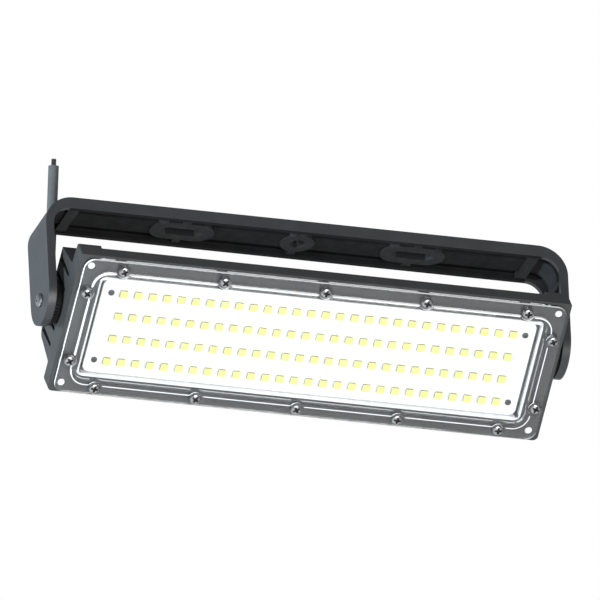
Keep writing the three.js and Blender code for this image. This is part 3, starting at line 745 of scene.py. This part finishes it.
# Housing
housingSettings = {
    "width": 104,
    "flangeDepth": 10.5,
    "upperDepth": 13.9,
    "lowerDepth": 12.4,
    "upperCorner": 1.2,
    "lowerCorner": 3.5,
    "edgeRound": 4,
    "endBlock": 16,
    "bodyWidth": 73,
    "bodyTip": 67,
    "bodyRoot": 15.5,
    "bodyFillet": 2,
    "backRound": 8,
    "backWeb": 2,
    "slots": (15, 26.7),
    "slotWidth": (2.4, 4.2),  # in front and behind
    "finCount": 9,
    "finWidth": (2.8, 1.8),
    "finSetback": 4,
    "finTop": (0.9, 0.5),  # height of its slope, share of the width left
    "finEdge": 0.35,
    "airGap": 6,
    "bays": 4,
    "lip": (307.2, 75, 5),
    "lipReach": (-1, 3),
    "lipBand": (1.3, 2.3),  # width of its bright top at the ends and along the sides
    "pocket": (305.2, 71, 3),
    "pocketDepth": 3.9,
    "groove": (317.6, 84, 11),
    "grooveWidth": 3.6,
    "grooveDepth": 1.8,
    "sideScrews": (70, 44.4),  # five on each side, this far apart
    "endScrews": (161.6, 25.7),
    "plugs": (162, 44.4),
    "screwHole": (2.3, 8.7),
    "plugHole": (2.7, 6.3),
    "pivotReach": 12.3,
    "glandBoss": 9.5,
    "glandWell": (6.3, 10.5),
    "wireHole": (4.5, 2.6, 12.5),  # shift from the gland, radius, reach
    "edge": 0.6,
}


def fourSpots(x, y):
    return [(end * x, side * y) for end in (-1, 1) for side in (-1, 1)]


screwPitch, screwSide = housingSettings["sideScrews"]
coverScrewSpots = [(i * screwPitch, side * screwSide) for side in (-1, 1) for i in range(-2, 3)]
coverScrewSpots += fourSpots(*housingSettings["endScrews"])
plugSpots = fourSpots(*housingSettings["plugs"])


def fromScrew(spot):
    return min((spot.xy - Vector(screw)).length for screw in coverScrewSpots)


def curveTo(start, control, end, steps=8):
    points = []
    for i in range(1, steps + 1):
        t = i / steps
        shares = ((1 - t) ** 2, 2 * t * (1 - t), t * t)
        points.append(tuple(
            sum(share * part for share, part in zip(shares, parts))
            for parts in zip(start, control, end)
        ))
    return points


def endBlockOutline():
    s, depth = housingSettings, headSettings["depth"]
    half, body, tip = s["width"] / 2, s["bodyWidth"] / 2, s["bodyTip"] / 2
    low, turn, back, root = s["lowerDepth"], s["edgeRound"], s["backRound"], s["bodyRoot"]
    points = [(-half, 0), (half, 0), (half, low - turn)]
    points += curveTo(points[-1], (half, low), (half - turn, low))
    points.append((body + s["bodyFillet"], low))
    points += curveTo(points[-1], (body, low), (body, root))
    points.append((tip, depth - back))
    points += curveTo(points[-1], (tip, depth), (tip - back, depth))
    return points + [(-tip, depth), (-body, root), (-half, s["upperDepth"])]


def makeHousing():
    s, depth, half = housingSettings, headSettings["depth"], headSettings["length"] / 2
    inner, body, root = half - s["endBlock"], s["bodyWidth"] / 2, s["bodyRoot"]
    near, far = (width / 2 for width in s["slotWidth"])
    blocks = []
    for end in (-1, 1):
        slots = []
        for x in (side * offset for offset in s["slots"] for side in (-1, 1)):
            back = depth - s["backWeb"]
            outline = [(x - near, root), (x + near, root), (x + far, back), (x - far, back)]
            slots.append(prism(outline, end * (inner - past), end * (half + past), "X"))
        blocks.append(cut(prism(endBlockOutline(), end * inner, end * half, "X"), slots))
    flange = roundedRectangle(2 * half, s["width"], s["lowerCorner"], s["upperCorner"])
    spot, front = headSettings["gland"], s["flangeDepth"] - into
    cast = joined([
        prism(flange, 0, s["flangeDepth"]),
        box((-inner - into, -body, front), (inner + into, body, root)),
        prism(ringOf(*spot, s["glandBoss"], 64), front, depth),
        prism(roundedRectangle(*s["lip"]), *s["lipReach"]),
        *blocks,
    ])
    before = -past - into
    cast = joined([prism(flange, before, depth - before)], "INTERSECT", cast)
    length, width, corner = s["groove"]
    wall, floor = s["grooveWidth"], s["grooveDepth"]
    island = roundedRectangle(length - 2 * wall, width - 2 * wall, corner - wall)
    groove = prism(roundedRectangle(length, width, corner), before, floor)
    tools = [
        prism(roundedRectangle(*s["pocket"]), before, s["pocketDepth"]),
        cut(groove, [prism(island, before - into, floor + into)]),
    ]
    for spots, label, sides in ((coverScrewSpots, "screwHole", 24), (plugSpots, "plugHole", 32)):
        radius, reach = s[label]
        tools += [prism(ringOf(x, y, radius, sides), before, reach) for x, y in spots]
    bore = ringOf(0, headSettings["pivotDepth"], headSettings["pivotHole"], 32)
    for end in (-1, 1):
        tools.append(prism(bore, end * (half - s["pivotReach"]), end * (half + past), "X"))
    (radius, floor), (shift, wireRadius, reach) = s["glandWell"], s["wireHole"]
    tools.append(prism(ringOf(*spot, radius, 48), floor, depth + past))
    tools.append(prism(ringOf(spot[0] + shift, spot[1], wireRadius, 24), 0, reach))
    cast = rounded(cut(cast, tools), s["edge"])
    piece = place("castHousing", cast, "housingCoat", "housing_coat", ["housing"])
    margin = 0.1
    lipX, lipY = (size / 2 + margin for size in s["lip"][:2])
    bandX, bandY = s["lipBand"]

    def onLip(spot, normal):
        x, y = abs(spot.x), abs(spot.y)
        top = x > lipX - bandX or y > lipY - bandY
        return x < lipX and y < lipY and top and spot.z < s["pocketDepth"] - 0.5

    # the top band of the lip is painted bright light grey
    paint(piece, "brightLip", onLip)

    finDepth = depth - s["finSetback"]
    bay = (2 * inner - (s["bays"] - 1) * s["airGap"]) / s["bays"]
    near, far = (width / 2 for width in s["finWidth"])
    slope, share = s["finTop"]
    outline = [(near, root - into), (far, finDepth - slope), (far * share, finDepth)]
    outline = [(-near, root - into)] + outline + [(-x, z) for x, z in reversed(outline[1:])]
    fin = rounded(prism(outline, -bay / 2, bay / 2, "X"), s["finEdge"])
    placeRows(
        "coolingFins", fin, "housingCoat", "housing_coat", columns=s["bays"], rows=s["finCount"],
        columnPitch=bay + s["airGap"], rowPitch=(s["bodyWidth"] - 2 * near) / (s["finCount"] - 1),
    )


makeHousing()
print("housing made")


# LED board with its packages
boardSettings = {
    "size": (300, 70, 4.5),
    "face": 1.2,
    "back": 2.8,
    "edge": 0.15,
    "screws": (143.5, 25.5),
    "screwHole": 1.55,
    "columns": 28,
    "rows": 4,
    "columnPitch": 10,
    "rowPitch": 17,
    "package": (5, 5, 0.4),
    "packageHeight": 1.6,
    "packageEdge": 0.12,
    "window": (4.5, 4.5, 0.9),
    "windowDepth": 0.35,
    "phosphorRise": (0.08, 0.12),  # in from the front at the middle, and more at the edge
}
boardSpots = fourSpots(*boardSettings["screws"])


def makeBoard():
    s = boardSettings
    face, back = s["face"], s["back"]
    plate = prism(roundedRectangle(*s["size"]), face, back)
    holes = [ringOf(x, y, s["screwHole"], 24) for x, y in boardSpots]
    plate = cut(plate, [prism(hole, face - into, back + into) for hole in holes])
    plate = rounded(plate, s["edge"])
    place("boardPlate", plate, "boardMask", "led_board", ["led_board"])

    top, depth, touch = face - s["packageHeight"], s["windowDepth"], 0.1
    body = prism(roundedRectangle(*s["package"], steps=3), top, face + touch)
    well = prism(roundedRectangle(*s["window"], steps=4), top - into, top + depth)
    body = rounded(cut(body, [well]), s["packageEdge"], 1)
    grid = {key: s[key] for key in ("columns", "rows", "columnPitch", "rowPitch")}
    # the packages' walls get dark olive painted shade, and their fronts get the phosphor yellow
    piece = placeRows("ledPackages", body, "ledPackageShade", "led_board", **grid)
    paint(piece, "phosphor", lambda spot, normal: normal.z < -0.4)

    half, (middle, more) = s["window"][0] / 2, s["phosphorRise"]
    gel = bmesh.new()
    bmesh.ops.create_grid(gel, x_segments=4, y_segments=4, size=half + touch / 2)
    for vertex in gel.verts:
        reach = max(abs(vertex.co.x), abs(vertex.co.y)) / half
        vertex.co.z = top + middle + more * reach ** 2
    bmesh.ops.reverse_faces(gel, faces=gel.faces)  # towards the front
    rim = [edge for edge in gel.edges if edge.is_boundary]
    made = bmesh.ops.extrude_edge_only(gel, edges=rim)["geom"]
    for vertex in (part for part in made if isinstance(part, bmesh.types.BMVert)):
        vertex.co.z = top + depth - touch / 10
    bmesh.ops.contextual_create(gel, geom=[edge for edge in gel.edges if edge.is_boundary])
    placeRows("ledPhosphor", outward(gel), "phosphor", "led_board", **grid)


makeBoard()
print("board made")


# Screws, bolts and plugs
screwSettings = {
    # shares of the head's radius and height, from its middle outwards
    "head": [
        (0, 1), (0.3, 0.985), (0.55, 0.93), (0.75, 0.82), (0.88, 0.66), (0.96, 0.46), (1, 0.25),
        (1, 0),
    ],
    "cross": (0.17, 0.74, 0.72),  # shares: half width, reach, depth
    "crossRoot": 1.25,
    "crossFoot": 0.62,
    "edge": 0.04,
    # head's radius and height, shank's radius and length
    "coverScrew": (4, 2.9, 2, 12),
    "coverSeat": -3.9,
    "boardScrew": (2.1, 0.9, 1.25, 5),
    "boardSeat": 0.9,
    "plug": [(0, 0.15), (1.2, 0.1), (2.1, 0), (2.4, 0.3), (2.4, 6), (0, 6)],
}


def headAndShank(head, radius, height, shankRadius, shankLength):
    profile = [(radius * out, -height * up) for out, up in head]
    return profile + [(shankRadius, 0), (shankRadius, shankLength), (0, shankLength)]


def panScrew(size, sides):
    s, (radius, height, *_) = screwSettings, size
    blade, reach, depth = s["cross"]
    wide, far, root = radius * blade, radius * reach, radius * blade * s["crossRoot"]
    outline = [(-far, -wide), (-wide, -root), (wide, -root), (far, -wide)]
    outline += [(-x, -y) for x, y in outline]
    top = -height - into
    arms = []
    for turn in (0, 90):
        arm = prism(outline, top, -height * (1 - depth))
        for vertex in arm.verts:
            if vertex.co.z > top + merge:
                vertex.co.x *= s["crossFoot"]
        arm.transform(Matrix.Rotation(math.radians(turn), 4, "Z"))
        arms.append(arm)
    blank = turned(headAndShank(s["head"], *size), sides)
    return rounded(cut(blank, [joined(arms)]), radius * s["edge"], 1, 50)


def placeAtSpots(name, shape, look, slot, spots, height, label, seed, turn=0.0):
    points = [(x, y, height) for x, y in spots]
    mesh = byTree("points", shape, look, points, seed=seed, turn=turn)
    nodes = [label.format(i + 1) for i in range(len(points))]
    return placeMesh(name, mesh, look, slot, nodes)


def makeScrews():
    s = screwSettings
    seat, (radius, height, *_) = s["coverSeat"], s["coverScrew"]
    piece = placeAtSpots(
        "coverScrews", panScrew(s["coverScrew"], 40), "stainless", "steel",
        coverScrewSpots, seat, "cover_screw_{:02d}", 7, 1.5,
    )

    # the cross recess of each stainless cover screw is painted black oxide as painted shade
    def shadedCross(spot, normal):
        share = fromScrew(spot) / radius
        if share > 0.8 or spot.z > seat - 0.3:
            return False
        rise = [up for out, up in s["head"] if out <= share + 1e-6][-1]
        return spot.z > seat - height * rise + 0.35 + 0.5 * share

    paint(piece, "blackOxideAndPaintedShade", shadedCross)
    placeAtSpots(
        "boardScrews", panScrew(s["boardScrew"], 28), "blackOxideAndPaintedShade", "black_steel",
        boardSpots, s["boardSeat"], "board_screw_{}", 5, 1.5,
    )
    placeAtSpots(
        "cornerPlugs", turned(s["plug"], 40), "whiteNylon", "white_nylon",
        plugSpots, 0, "corner_plug_{}", 1,
    )


makeScrews()

boltSettings = {
    "outer": 181.3,
    "head": [
        (0, 1), (0.3, 0.99), (0.55, 0.93), (0.75, 0.8), (0.9, 0.58), (0.98, 0.32), (1, 0.12),
        (1, 0),
    ],
    "size": (4.6, 2.3, 3, 23),
    "socket": (3, 1.2),
    "edge": 0.2,
}


def hexagonOf(across):
    return ringOf(0, 0, across / math.sqrt(3), 6)


def onPivot(x, facing):
    shift = Matrix.Translation((x, 0, headSettings["pivotDepth"]))
    return headFrame @ shift @ Matrix.Rotation(facing * math.pi / 2, 4, "Y")


def makeBolts():
    s, (across, deep) = boltSettings, boltSettings["socket"]
    top = -s["size"][1]
    for side, end in ends.items():
        blank = turned(headAndShank(s["head"], *s["size"]))
        socket = prism(hexagonOf(across), top - into, top + deep)
        bolt = rounded(cut(blank, [socket]), s["edge"], 2, 50)
        placing = onPivot(end * s["outer"], -end)
        place(f"pivotBolt_{side}", bolt, "boltSteel", "steel", [f"pivot_bolt_{side}"], placing)


makeBolts()

discSettings = {
    "seat": 170.3,
    "thickness": 4.9,
    "radius": 16,
    "tooth": 1.2,
    "toothRoot": 0.6,
    "flank": (0.36, 0.34, 0.16),  # shares of the pitch, from the root to the tip
    "toothEdge": 0.1,
    "teeth": 40,
    "crown": 2.6,
    "hub": 14.4,
    "edges": (0.4, 0.2),
    "ring": 3,
}


def makeDiscs():
    s, bore = discSettings, headSettings["pivotHole"]
    inner, thick, hub = s["radius"] - s["tooth"], s["thickness"], s["hub"]
    low, (edge, small) = thick - s["crown"], s["edges"]
    flank = list(zip(s["flank"], (inner - s["toothRoot"], inner, s["radius"])))
    outline = []
    for share, reach in [(-share, reach) for share, reach in flank] + flank[::-1]:
        angle = 2 * math.pi * share / s["teeth"]
        outline.append((reach * math.cos(angle), reach * math.sin(angle)))
    # the discs get a near-black coat as painted shade for the gap between arm and housing
    for side, end in ends.items():
        tooth = rounded(prism(outline, low, thick), s["toothEdge"], 1)
        disc = turnedRing([
            (bore, 0), (hub - edge, 0), (hub, edge), (hub, low), (inner - small, low),
            (inner, low + small), (inner, thick - small), (inner - small, thick),
            (bore + s["ring"], thick), (bore, thick),
        ], 90)
        disc.from_mesh(byTree("ring", tooth, "discCoat", count=s["teeth"]))
        place(
            f"toothedDisc_{side}", disc, "discCoat", "disc_metal", [f"toothed_disc_{side}"],
            onPivot(end * s["seat"], end),
        )


makeDiscs()
print("fasteners made")


# Cable gland
glandSettings = {
    "thread": (6, 8),
    "ridge": 0.45,
    "hexAcross": 15,
    "hexHeight": 5,
    "hexEdge": 0.5,
    "neck": 8,
    "bore": 2.4,
    "nutRadius": 7.4,
    "nutEdge": 0.3,
    "shoulder": 12.4,
    "dome": [(0, 0), (0.25, 1.6), (0.8, 3.2), (1.5, 4.6), (2.2, 6)],  # in and up from the shoulder
    "mouth": (3.8, 0.5),  # radius, edge
    "ribs": 12,
    "rib": (0.6, 0.4, 1.4),  # in, out and width
}


def makeGland():
    s = glandSettings
    (radius, reach), ridge, bore = s["thread"], s["ridge"], s["bore"]
    root, top = radius - ridge, s["hexHeight"] + s["neck"]
    profile = [(bore, -reach)]
    for z in range(-reach, top - 1):
        profile += [(root, z), (radius, z + ridge), (radius, z + 1 - ridge)]
    stem = turnedRing([*profile, (root, top - 1), (root, top), (bore, top)], 48)
    core = prism(ringOf(0, 0, bore + 0.5, 32), -into, s["hexHeight"] + into)
    hexagon = cut(prism(hexagonOf(s["hexAcross"]), 0, s["hexHeight"]), [core])
    stem.from_mesh(toMesh(rounded(hexagon, s["hexEdge"])))
    seat = Vector((*headSettings["gland"], headSettings["depth"] + gap))
    placing = headFrame @ Matrix.Translation(seat)
    place("glandBody", stem, "blackNylon", "black_nylon", ["gland_body"], placing)

    outer, inner, edge, shoulder = s["nutRadius"], radius + gap, s["nutEdge"], s["shoulder"]
    mouth, lip = s["mouth"]
    dome = [(outer - inset, shoulder + rise) for inset, rise in s["dome"]]
    end = dome[-1][1]
    nut = turnedRing([
        (inner, 0), (outer - edge, 0), (outer, edge), *dome,
        (mouth + lip, end), (mouth, end - lip), (mouth, shoulder), (inner, shoulder),
    ], 72)
    inward, proud, width = s["rib"]
    low = (outer - inward, -width / 2, 2 * edge)
    rib = rounded(box(low, (outer + proud, width / 2, shoulder)), edge)
    nut.from_mesh(byTree("ring", rib, "blackNylon", count=s["ribs"]))
    placing = headFrame @ Matrix.Translation(seat + Vector((0, 0, s["hexHeight"] + gap)))
    place("glandNut", nut, "blackNylon", "black_nylon", ["gland_nut"], placing)


makeGland()


# Clear cover
coverSettings = {
    "rim": (334, 100.6, 7),
    "rimThickness": 3.3,
    "rimEdge": 0.4,
    "clearFoot": 1.5,  # of the rim's outer wall, below its painted highlight
    "window": (318.4, 84.8, 11),
    "height": 5.4,
    "topEdge": 0.2,
    "highlightBorder": 0.75,
    "foot": 0.6,
    "wall": 3,
    "insideEdge": 0.12,
    "scallop": 4.8,
    "scallopWall": 1.4,
    "scallopBlend": 1.2,
    "hole": 2.3,
}


# A rounded rectangle with a round notch at each screw beyond its sides
def notchedOutline(size, notch, inset=0):
    length, width, corner = size
    halves = (length / 2 - inset, width / 2 - inset)
    corner, notch, blend = corner - inset, notch + inset, coverSettings["scallopBlend"] - inset
    points = []
    for side in range(4):
        half, other = halves[side % 2], halves[1 - side % 2]
        turn = math.radians(90 * side)
        outwards = Vector((math.cos(turn), math.sin(turn)))
        along = Vector((-math.sin(turn), math.cos(turn)))
        spots = [Vector(spot) for spot in coverScrewSpots]
        spots = sorted((spot @ along, spot @ outwards) for spot in spots if spot @ outwards > half)
        local = []
        for place, reach in spots:
            rise = reach - half + blend
            shift = math.sqrt((notch + blend) ** 2 - rise ** 2)
            lean = math.degrees(math.atan2(rise, shift))
            local += arc(place - shift, half - blend, blend, 90, lean, 6)
            local += arc(place, reach, notch, 180 + lean, 360 - lean, 24)[1:-1]
            local += arc(place + shift, half - blend, blend, 180 - lean, 90, 6)
        local += arc(other - corner, half - corner, corner, 90, 0, 12)
        points += [along * a + outwards * b for a, b in local]
    return [tuple(point) for point in points]


def quarter(radius, steps):
    turns = [math.radians(90 * i / steps) for i in range(steps + 1)]
    return [(radius * (1 - math.cos(turn)), radius * (1 - math.sin(turn))) for turn in turns]


def makeCover():
    s, back = coverSettings, -gap
    front, seat, clearTop = back - s["height"], back - s["rimThickness"], back - s["clearFoot"]

    length, width, corner = s["rim"]
    steps = [(0, back), (0, clearTop)]
    steps += [(inset, seat + rise) for inset, rise in quarter(s["rimEdge"], 3)]
    rim = loft(lambda inset: roundedRectangle(
        length - 2 * inset, width - 2 * inset, corner - inset, steps=14
    ), steps)

    window, scallop, wall = s["window"], s["scallop"], s["wall"]
    steps = [(-s["foot"], seat + into)]
    steps += [(-rise, seat - inset) for inset, rise in quarter(s["foot"], 4)]
    steps += [(inset, front + rise) for inset, rise in quarter(s["topEdge"], 3)]
    steps.append((s["highlightBorder"], front))
    raised = loft(lambda inset: notchedOutline(window, scallop, inset), steps)
    length, width, corner = window
    size, notch = (length - 2 * wall, width - 2 * wall, corner - wall), scallop + s["scallopWall"]
    steps = [(0, back + past)]
    steps += [(inset, front + wall + rise) for inset, rise in quarter(s["insideEdge"], 4)]
    cavity = loft(lambda inset: notchedOutline(size, notch, inset), steps)

    holes = [ringOf(x, y, s["hole"]) for x, y in coverScrewSpots]
    holes = [prism(hole, front - past, back + past) for hole in holes]
    whole = cut(joined([rim, raised]), [cavity, *holes])
    bmesh.ops.remove_doubles(whole, verts=whole.verts, dist=merge)
    piece = place("clearCover", whole, "clearPlastic", "clear_cover", ["lens_cover"], crisp=True)
    border = [Vector(point) for point in notchedOutline(window, scallop)]
    border = list(zip(border, border[1:] + border[:1]))
    inX, inY = 150, 36  # sides that stand within these face inwards

    def borderDistance(spot):
        distances = []
        for a, b in border:
            share = (spot - a).dot(b - a) / max((b - a).length_squared, 1e-9)
            distances.append((a + (b - a) * max(0, min(1, share)) - spot).length)
        return min(distances)

    # outward walls and the window's top border get the painted highlight
    def highlightedEdge(spot, normal):
        nearest = fromScrew(spot)
        if spot.z < front + s["topEdge"] and abs(normal.z) > 0.3:
            onTop = nearest > scallop + s["scallopBlend"]
            return onTop and borderDistance(spot.xy) < s["highlightBorder"]
        facing = normal.x * math.copysign(1, spot.x) if abs(spot.x) > inX else 0
        facing += normal.y * math.copysign(1, spot.y) if abs(spot.y) > inY else 0
        onWall = abs(normal.z) < 0.5 and facing > 0.3 and spot.z < clearTop
        return onWall and nearest > s["hole"] + gap

    paint(piece, "paintedEdgeHighlight", highlightedEdge)


makeCover()
print("cover made")


# CAD nodes that stay, with their finishes
keptNodes = {
    "lens_gasket": "silicone",
    "thermal_pad": "padFoam",
    "gland_seal": "blackRubber",
    "lead_wire_positive": "redWire",
    "lead_wire_negative": "blackWire",
}
for nodeName, materialName in keptNodes.items():
    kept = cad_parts[nodeName]
    kept.data.materials.clear()
    kept.data.materials.append(materials[materialName])


# Floor, world and lights
stageSettings = {
    "floorSize": 4,
    "floorDrop": 1.2,
    "floorColor": (0.80, 0.80, 0.79),
    "floorCloud": (0.97, 3, 4),  # darkest share of the colour, scale, detail
    "floorStops": (0.3, 0.7),
    "floorRoughness": 0.7,
    "ambient": 0.35,
    "backdropWay": (-0.35, 0.82, -0.45),  # towards the bright side of the studio
    "backdropRange": (0.0, 0.75, 0.18, 0.62),
    "backdropTint": (0.84, 0.93, 1.0),
    "aim": (0, 0, -0.05),
    "lights": [
        # name, place, size, watts, colour, seen in reflections
        ("keyLight", (0.05, -1.15, -0.7), 0.9, 11.8, (1.0, 0.995, 0.98), True),
        ("sideLight", (-1.5, -0.3, -0.2), 0.35, 34, (0.74, 0.88, 1.0), False),
        ("rearLight", (0.3, 1.3, 1.1), 0.9, 40, (1.0, 1.0, 1.0), False),
    ],
}


def makeFloor():
    s = stageSettings
    bm = bmesh.new()
    bmesh.ops.create_grid(bm, x_segments=2, y_segments=2, size=s["floorSize"])
    bm.transform(Matrix.Translation((0, 0, -s["floorDrop"])))
    floor = addObject("floor", toMesh(bm, "floor"))
    material, tree, shader = newMaterial("floorPaint", {"Roughness": s["floorRoughness"]})
    share, scale, detail = s["floorCloud"]
    tint(tree, shader, noise(tree, scale, detail), share, s["floorColor"], s["floorStops"])
    floor.data.materials.append(material)


# White to the eye and through glass, and a backdrop that falls off in reflections
def makeWorld():
    s = stageSettings
    world = bpy.data.worlds.new("studio")
    scene.world = world
    world.use_nodes = True
    tree = world.node_tree
    white = (1, 1, 1, 1)
    soft = tree.nodes["Background"]
    soft.inputs["Color"].default_value = white
    soft.inputs["Strength"].default_value = s["ambient"]
    sockets = {0: node(tree, "ShaderNodeTexCoord").outputs["Generated"], 1: s["backdropWay"]}
    facing = node(tree, "ShaderNodeVectorMath", sockets, operation="DOT_PRODUCT")
    fall = ranged(
        tree, facing.outputs["Value"], s["backdropRange"], interpolation_type="SMOOTHSTEP"
    )
    sockets = {"Color": (*s["backdropTint"], 1), "Strength": fall}
    backdrop = node(tree, "ShaderNodeBackground", sockets)
    glossy = node(tree, "ShaderNodeLightPath").outputs["Is Glossy Ray"]
    shine = mixed(tree, glossy, soft, backdrop)
    seen = eitherRay(tree, "Is Camera Ray", "Is Transmission Ray")
    mix = mixed(tree, seen, shine, node(tree, "ShaderNodeBackground", {"Color": white}))
    tree.links.new(mix.outputs[0], tree.nodes["World Output"].inputs["Surface"])


def makeLights():
    for name, spot, size, power, color, inReflections in stageSettings["lights"]:
        data = bpy.data.lights.new(name, "AREA")
        data.shape = "DISK"
        data.size = size
        data.energy = power
        data.color = color
        lamp = addObject(name, data)
        lamp.location = spot
        lamp.visible_glossy = inReflections
        aim = Vector(stageSettings["aim"]) - Vector(spot)
        lamp.rotation_mode = "QUATERNION"
        lamp.rotation_quaternion = aim.to_track_quat("-Z", "Y")


makeFloor()
makeWorld()
makeLights()
print("stage made")
